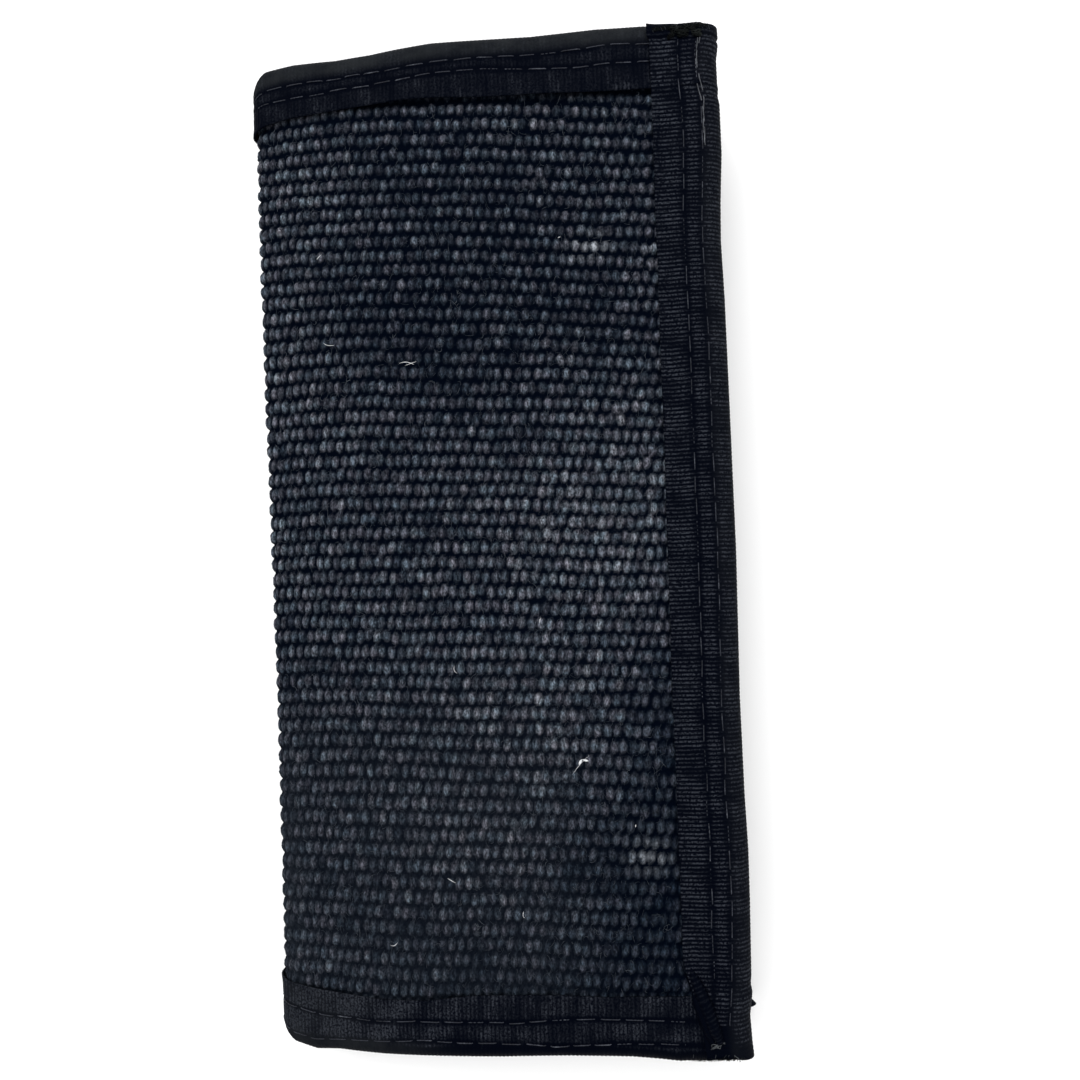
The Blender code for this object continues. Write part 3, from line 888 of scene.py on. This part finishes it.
def edge_tape(name, cover, body, replaced):
    """The binding of a cover's free edge (cover 1 for the front, -1 for the rear), over the end tapes."""
    front = cover > 0
    count = round(2 * HALF / (RIB / 4)) + 1
    lowest = TAPE_END if front else REAR_LOWER_END
    y, share = np.meshgrid(np.linspace(-lowest, TAPE_END, count), TAPE_SHARES, indexing="ij")
    thickness = edge_thickness(cover)
    face = EDGE_FACE + 0.1 * MM * ripple(y, 0, 40 * MM, 41 + cover)
    if front:
        on_outer_face = fade(share, 0.35, 0.5)
        tucked_end = TUCK_WIDENS * smooth(y, TUCK_Y - 0.3 * MM, TUCK_Y + 0.3 * MM)
        face = face + (tucked_end - along_points(y, SLANT)) * on_outer_face
    from_edge, depth, out_s, out_depth = profile(share, face, thickness)
    askew = np.where(y > 0, UPPER_CUT[0] * from_edge + UPPER_CUT[1], 0)
    upper, lower, width = CORNER_PULL
    corner = np.where(y > 0, upper, lower) * np.clip(1 - from_edge / width, 0, 1) * front
    y = y * (1 + (askew + corner) / TAPE_END)
    ribs = rib_height(y, 0.10 * MM * ripple(y, from_edge * 3, 30 * MM, 43))
    seeds = [edge_seed(index, cover) for index in (0, 1)]
    flattened = 1 - 0.35 * outer_part(from_edge)
    proud = RIB_HEIGHT * flattened * (ribs - 0.5) - channel(from_edge, depth, thickness, EDGE_ROWS, y, seeds)
    lifted = fade(share, 0.0, 0.07) * (0.2 * MM if front else 0)
    outer_out = proud + lifted * (1 + 0.8 * ripple(y, 0, 25 * MM, 44))
    if front:
        crease = 0.4 * MM * bell(y - TUCK_Y, 0.35 * MM)
        outer_out = outer_out + (over_end_tape(y) - crease) * fade(depth / thickness, 0.45, 0.95)
    else:
        # The rear tape's lower corner has worked loose and sticks out.
        flare = np.clip(1 - (y + REAR_LOWER_END) / CORNER_FLARE[1], 0, 1)
        from_edge = from_edge - CORNER_FLARE[0] * flare**1.2 * out_s

    def point(out):
        return cover * (END[cover] - from_edge + out_s * out), y, depth + out_depth * out

    # Where the lower end is flattened and turned in, and above the tuck, the ribs are left out of the colour.
    # These parts take the near-black painted shade of the gaps between the ribs.
    flattened_end = smooth(-y, HALF - 9 * MM, HALF - 5 * MM) * smooth(from_edge, 1.5 * MM, 4.5 * MM)
    turned_in = smooth(-y, HALF - 4.5 * MM, HALF - 2.5 * MM)
    tucked = smooth(y, TUCK_Y, TUCK_Y + 0.4 * MM)
    hidden_ribs = np.clip(0.8 * flattened_end + 0.6 * turned_in + 0.2 * tucked, 0, 1)
    levels = (0, 1.14 * (1 - hidden_ribs))
    looks = tape_looks(ribs, y, from_edge, depth, thickness, EDGE_ROWS, 0.22, levels)
    make_tape(name, share, outer_out, point, front, looks, replaced, (body,))


ROLL = (  # (s, y, radius) along the rolled tape, in millimetres
    (84.9, -76.4, 0.25),
    (85.7, -79.0, 0.85),
    (86.8, -81.4, 1.20),
    (87.9, -83.8, 1.35),
    (89.0, -86.2, 1.35),
    (89.9, -88.4, 1.25),
    (90.6, -90.4, 0.80),
)
ROLL_RIB = 0.05 * MM


def make_roll(name, start, shift, narrowed, sunk, contrast):
    """The front edge tape's lower end, rolled up at a slant and caught under the stitching.

    It grows from nothing at start. shift moves it along s, narrowed multiplies its radius, sunk moves it
    inwards, and contrast is how light its ribs are."""
    sides = 22
    rings = 160
    path = resampled(np.array(ROLL) * MM, rings)
    kernel = np.hanning(25) / np.hanning(25).sum()
    for axis in range(3):
        path[12:-12, axis] = np.convolve(path[:, axis], kernel, "valid")
    s, y, radius = path.T
    grown = 0.1 + 0.9 * smooth(start - y, 0, 3 * MM)
    radius = narrowed * radius * (1 + 0.10 * ripple(y, s, 4 * MM, 63)) * grown
    run = np.linspace(0, (ROLL[0][1] - ROLL[-1][1]) * MM, rings)
    ribs = rib_height(run, 0.1 * MM * ripple(run, 0, 3 * MM, 64))
    depth = sunk - over_end_tape(y) - 0.45 * radius
    centre = np.column_stack([s + shift, y, depth])
    points, faces = tube(centre, radius + ROLL_RIB * ribs, sides=sides)
    looks = {"height": contrast * np.repeat(ribs, sides), "rolled": np.zeros(len(points))}
    settle(build(name, points, faces, GROSGRAIN, looks), ("front_cover",))


# ---- stitching


def end_seed(index, side):
    """The seed of a row's stitches, which the channel under them shares."""
    return 50 + 10 * index + side


def edge_seed(index, cover):
    return 70 + 10 * index + cover


def constant(value):
    """A place or depth that stays the same along a row."""
    return lambda along: along * 0 + value


def stitch_row(low, high, across_of, depth_of, along_s, seed, outward, wander=0.1 * MM):
    """A row of lockstitches as one thread, which dips out of sight at every hole.

    across_of and depth_of give where it runs. Some stitches are pulled in deeper than others."""
    samples = round((high - low) / (STITCH / 14)) + 1
    along = np.linspace(low, high, samples)
    phase, number = stitch_phase(along, seed)
    random = np.random.default_rng(seed)
    most = 600  # stitches in a row
    sway = random.normal(0, 0.07 * MM, most)[number % most] + wander * ripple(along, 0, 14 * MM, seed)
    sunk = random.uniform(-0.04 * MM, 0.13 * MM, most)[number % most]
    out = 0.06 * MM - sunk - STITCH_DIP * np.clip((phase - 0.62) / 0.38, 0, 1) ** 1.4
    side = across_of(along) + sway
    depth = depth_of(along) - outward * out
    path = np.stack([along, side, depth] if along_s else [side, along, depth], axis=1)
    return tube(path, THREAD)


def end_stitches(name, low, high, side, bodies):
    """Both rows of a top or bottom binding, on its outer and inner faces."""

    def inner_depth(s):
        return cover_depth(s) - SURFACE_AT_STITCH

    parts = []
    for index, row in enumerate(END_ROWS[side]):

        def across_of(s, row=row):
            return side * (HALF - along_points(np.abs(s), row))

        for depth_of, outward in ((constant(SURFACE_AT_STITCH), 1), (inner_depth, -1)):
            seed = end_seed(index, side)
            parts.append(stitch_row(low, high, across_of, depth_of, True, seed, outward))
    make_threads(name, parts, THREAD_LOOK, bodies)


def front_row_depth(y):
    """How deep the rows on the front edge tape's outer face run."""
    return SURFACE_AT_STITCH - over_end_tape(y)


def edge_stitches(name, cover, body):
    """Both rows of a free-edge binding, on its outer and inner faces."""
    inner_depth = constant(edge_thickness(cover) - SURFACE_AT_STITCH)
    outer_depth = front_row_depth if cover > 0 else constant(SURFACE_AT_STITCH)
    parts = []
    for index, row in enumerate(EDGE_ROWS):
        across_of = constant(cover * (END[cover] - row))
        lowest = FRONT_LOWEST[index] if cover > 0 else ROWS_LOWEST
        for start, depth_of, outward in ((lowest, outer_depth, 1), (ROWS_LOWEST, inner_depth, -1)):
            seed = edge_seed(index, cover)
            parts.append(stitch_row(start, ROWS_TOP, across_of, depth_of, False, seed, outward))
    make_threads(name, parts, THREAD_LOOK, (body,))


def stitches_sewn_back():
    """The front's outer row, sewn back over itself twice at the top."""
    parts = []
    for seed, off, wander in SEWN_BACK:
        across = constant(END[1] - EDGE_ROWS[0] + off)
        parts.append(stitch_row(SEWN_BACK_FROM, ROWS_TOP, across, front_row_depth, False, seed, 1, wander))
    make_threads("stitches_sewn_back", parts, RUBBED_THREAD)


def tangle(name, centre, reach, turns, radius, material, seed):
    """A knot of loose thread on the front cover, at (from the free edge, y, depth)."""
    random = np.random.default_rng(seed)
    t = np.linspace(0, 2 * math.pi * turns, 40 * turns)
    path = np.zeros((len(t), 3))
    middle = (END[1] - centre[0], centre[1], centre[2])
    for axis in range(3):
        slow, fast = random.uniform(0.6, 1.4, 2) * (1, 2.3)
        start, later = random.uniform(0, 2 * math.pi, 2)
        swing = 0.7 * np.sin(slow * t + start) + 0.3 * np.sin(fast * t + later)
        path[:, axis] = middle[axis] + reach[axis] * swing
    make_threads(name, [tube(path, radius)], material)


def loose_thread(name, route, radius, material):
    """A loose end of thread on the front cover, through (s, y, depth) points in millimetres."""
    path = resampled(np.array(route) * MM, 8 * len(route))
    path[1:-1] = (path[:-2] + 2 * path[1:-1] + path[2:]) / 4
    make_threads(name, [tube(path, radius, sides=6)], material)


def make_fray(name, place_y, count, reach, material, seed):
    """Cut yarns standing out of the front edge tape's end at place_y."""
    random = np.random.default_rng(seed)
    outwards = math.copysign(1, place_y)
    parts = []
    for _ in range(count):
        start = END[1] - random.uniform(1.0, EDGE_FACE / MM - 0.5) * MM
        t = np.linspace(0, 1, 9)
        length = random.uniform(0.35, 1.0) * reach
        s = start + length * (random.normal(0, 0.5) * t + random.normal(0, 0.5) * t**2)
        y = place_y + outwards * length * (t - 0.7)
        surface = round_edge(s) - over_end_tape(np.full_like(t, place_y))
        depth = surface - 0.15 * MM + length * random.uniform(-0.2, 0.7) * t**2
        parts.append(tube(np.stack([s, y, depth], axis=1), FRAY_RADIUS, sides=5))
    make_threads(name, parts, material)


def make_fuzz(name, low, high, count, bodies, seed):
    """Short loose fibres that stand a little off the yarns and cross the gaps between them."""
    random = np.random.default_rng(seed)
    half_y = HALF - FUZZ_MARGIN
    t = np.linspace(-0.5, 0.5, 5)
    s = random.uniform(low, high, (count, 1))
    y = random.uniform(-half_y, half_y, (count, 1))
    length = random.uniform(0.5 * MM, FUZZ_LENGTH, (count, 1))
    turn = random.normal(math.radians(80), math.radians(40), (count, 1))
    turn = turn + random.normal(0, 0.9, (count, 1)) * t
    s = s + length * t * np.cos(turn)
    y = y + length * t * np.sin(turn)
    surface = CLOTH_TOP + RELIEF * (1 - weave(s.ravel(), y.ravel())[0].reshape(s.shape))
    middle = surface.mean(axis=1, keepdims=True)
    depth = 0.4 * surface + 0.6 * middle - random.uniform(0.02 * MM, 0.16 * MM, (count, 1)) * (1 - 3 * t**2)
    parts = [tube(path, FUZZ_RADIUS, sides=3) for path in np.stack([s, y, depth], axis=-1)]
    make_threads(name, parts, FUZZ, bodies)


def make_lint():
    """Short pale fibres caught in the cloth."""
    random = np.random.default_rng(17)
    parts = []
    for s, y, length, angle, radius in LINT_PLACES:
        t = np.linspace(-0.5, 0.5, 14)
        turn = math.radians(angle) + random.uniform(-0.7, 0.7) * t
        above = 0.10 + 0.12 * np.cos(5 * t) + 0.5 * radius
        along_s = (s + length * t * np.cos(turn)) * MM
        along_y = (y + length * t * np.sin(turn)) * MM
        path = np.stack([along_s, along_y, CLOTH_TOP - above * MM], axis=1)
        parts.append(tube(path, radius * MM * (0.3 + 0.7 * np.cos(math.pi * t)), sides=5))
    make_threads("lint", parts, LINT)


# ---- lining and pockets


def flat_sheet(name, s_range, y_range, depth, material, slot, pitch=2.5 * MM, puff=0.0, ribs=None):
    """A thin closed sheet between two depths in flat coordinates."""
    low, high = s_range
    columns = max(3, round((high - low) / (ribs or pitch)) + 1)
    rows = max(3, round((y_range[1] - y_range[0]) / (pitch if not ribs else RIB / 4)) + 1)
    s, y = np.meshgrid(np.linspace(low, high, columns), np.linspace(*y_range, rows), indexing="ij")
    wave = puff * ripple(s, y, 38 * MM, 61)
    rib = rib_height(y, 0 * y) if ribs else np.ones_like(y)
    outer = np.stack([s, y, depth + wave], axis=-1)
    inner = np.stack([s, y, depth + SHEET + wave + (0.04 * MM * rib if ribs else 0)], axis=-1)
    points, faces = band(outer, inner)
    return build(name, points, faces, material, {"height": both_faces(rib)})


def make_lining(name, low, high, bodies, replaced):
    """The nylon lining: 2.7 mm under the outer surface, bridging the fold."""
    half = HALF - INSET
    piece = flat_sheet(name, (low, high), (-half, half), LINING_DEPTH, NYLON, "nylon_lining", 1.2 * MM)
    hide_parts(*replaced)
    settle(piece, bodies)


def make_pocket(cover, label, kind, place_name, mouth, level):
    """A pocket panel, open towards the fold, with a ribbed tape along its mouth."""
    body = "front_cover" if cover > 0 else "rear_cover"
    start = FOLD - RUN[cover] + mouth
    stop = END[cover] - INSET
    depth = LINING_DEPTH + STEP * (level + 1)
    half = HALF - INSET
    s_range = sorted((cover * start, cover * stop))
    panel = flat_sheet(label, s_range, (-half, half), depth, NYLON, "nylon_lining", puff=0.06 * MM)
    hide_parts(f"{kind}_pocket_{place_name}")
    settle(panel, (body,))
    tape_range = sorted((cover * (start - 0.2 * MM), cover * (start + 8 * MM)))
    inside = TAPE_Y - 0.3 * MM
    over = depth + SHEET + 0.05 * MM
    tape_look = (GROSGRAIN, "grosgrain_tape")
    tape = flat_sheet(label + "_mouth_tape", tape_range, (-inside, inside), over, *tape_look, ribs=0.8 * MM)
    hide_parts(f"{kind}_mouth_tape_{place_name}")
    settle(tape, (body,))
    depth_of = constant(depth + 2 * SHEET + 0.07 * MM)
    rows = []
    for from_mouth in (1.3 * MM, 6.6 * MM):
        across_of = constant(cover * (start + from_mouth))
        rows.append(stitch_row(-inside, inside, across_of, depth_of, False, 101 + level, -1))
    make_threads(label + "_stitches", rows, THREAD_LOOK, (body,))


# ---- the whole wallet

make_cloth("cloth_rear", -END[-1] + CLOTH_SHORT[0], 0, REAR, ("shell_rear",))
make_cloth("cloth_front", 0, END[1] - CLOTH_SHORT[0], FRONT, ("shell_front", "shell_spine"))
make_lining("lining_rear_sheet", -END[-1] + INSET, 0, REAR, ("lining_rear",))
make_lining("lining_front_sheet", 0, END[1] - INSET, FRONT, ("lining_front", "lining_spine"))
for label, side in (("top", 1), ("bottom", -1)):
    end_tape(f"tape_{label}_rear", -END[-1] + TAPE_SHORT, 0, side, REAR, (f"binding_{label}_rear",))
    front_nodes = (f"binding_{label}_front", f"binding_{label}_spine")
    end_tape(f"tape_{label}_front", 0, END[1] - TAPE_SHORT, side, FRONT, front_nodes)
    end_stitches(f"stitches_{label}_rear", -END[-1] + EDGE_FACE, 0, side, REAR)
    end_stitches(f"stitches_{label}_front", 0, END[1] - EDGE_FACE, side, FRONT)
edge_tape("tape_edge_rear", -1, "rear_cover", ("binding_edge_rear",))
edge_tape("tape_edge_front", 1, "front_cover", ("binding_edge_front",))
edge_stitches("stitches_edge_rear", -1, "rear_cover")
edge_stitches("stitches_edge_front", 1, "front_cover")
stitches_sewn_back()
make_roll("edge_tape_roll", -76.4 * MM, 0, 0.9, 0.1 * MM, 0.76)
# A second, lower and darker roll beside the first. It is the tape's folded-under layer, kept dark as a
# painted shadow beside the roll.
make_roll("edge_tape_underfold_shadow", -81 * MM, -1.5 * MM, 0.7, 0.3 * MM, 0.6)
for number, (from_edge, above, reach) in enumerate(KNOTS, start=1):
    centre = (from_edge * MM, TUCK_Y + above * MM, -0.62 * MM)
    reaches = (reach * MM, 0.55 * MM, 0.3 * MM)
    tangle(f"tuck_knot_{number}", centre, reaches, 4, 0.11 * MM, DARK_THREAD, 4 + number)
tangle("loose_knot", LOOSE_KNOT, (1.5 * MM, 0.7 * MM, 0.35 * MM), 3, 0.06 * MM, PALE_THREAD, 9)
loose_thread("thread_tail", TAIL, 0.07 * MM, PALE_THREAD)
make_fray("upper_fray", TAPE_END - 0.45 * MM, 140, 1.0 * MM, DARK_THREAD, 31)
make_fray("upper_fray_pale", TAPE_END - 0.55 * MM, 16, 1.0 * MM, THREAD_LOOK, 32)
make_fray("lower_fray", -TAPE_END, 60, 0.7 * MM, DARK_THREAD, 33)
make_fray("lower_fray_pale", -TAPE_END + 0.6 * MM, 5, 0.8 * MM, PALE_THREAD, 36)
make_fuzz("fuzz_front", FOLD, END[1] - EDGE_FACE - 1 * MM, 5200, ("front_cover",), 41)
make_fuzz("fuzz_rear", -END[-1] + EDGE_FACE + 1 * MM, -FOLD, 4000, ("rear_cover",), 42)
make_lint()
make_pocket(-1, "rear_bill_panel", "bill", "rear", 8 * MM, 0)
make_pocket(-1, "rear_slip_panel", "slip", "rear", 24 * MM, 1)
make_pocket(1, "front_bill_panel", "bill", "front", 8 * MM, 0)
for number, mouth in enumerate((20 * MM, 33 * MM, 46 * MM), start=1):
    make_pocket(1, f"card_panel_{number}", "card", f"{number}_front", mouth, number)


# ---- stage, light and camera

FLOOR_REACH = 3.0
FLOOR_DROP = 0.2 * MM  # under the wallet, so that the lowest yarns don't cut through it
WORLD_STRENGTH = 0.7
LIGHTS = (  # (name, place, size, power): square lights that face the origin
    ("key", (-0.20, 0.45, 0.80), 0.8, 8.0),
    ("fill", (0.5, -0.5, 0.8), 0.9, 2.5),
)
CAMERA_AT = (0.00876, 0.00031, 0.20610)
CAMERA_TURN = tuple(math.radians(angle) for angle in (0.245, 0.123, -2.066))
CAMERA_LENS = 33.13


def make_floor():
    mesh = bpy.data.meshes.new("floor")
    corners = [(x * FLOOR_REACH, y * FLOOR_REACH, 0) for x, y in ((-1, -1), (1, -1), (1, 1), (-1, 1))]
    mesh.from_pydata(corners, [], [(0, 1, 2, 3)])
    mesh.materials.append(floor_material())
    floor = add_object("floor", mesh)
    floor.location.z = -FLOOR_DROP


def make_lights():
    world = bpy.data.worlds.new("studio")
    world.use_nodes = True
    background = world.node_tree.nodes["Background"].inputs
    background["Color"].default_value = (1, 1, 1, 1)
    background["Strength"].default_value = WORLD_STRENGTH
    bpy.context.scene.world = world
    bpy.context.scene.view_settings.view_transform = "Standard"
    for name, place_at, size, power in LIGHTS:
        data = bpy.data.lights.new(name, "AREA")
        data.size = size
        data.energy = power
        light = add_object(name, data)
        light.location = place_at
        light.rotation_euler = (-Vector(place_at)).to_track_quat("-Z", "Y").to_euler()


def make_camera():
    data = bpy.data.cameras.new("camera")
    data.sensor_width = 36
    data.lens = CAMERA_LENS
    data.clip_start = 0.01
    camera = add_object("camera", data)
    camera.location = CAMERA_AT
    camera.rotation_euler = CAMERA_TURN
    bpy.context.scene.camera = camera


make_floor()
make_lights()
make_camera()
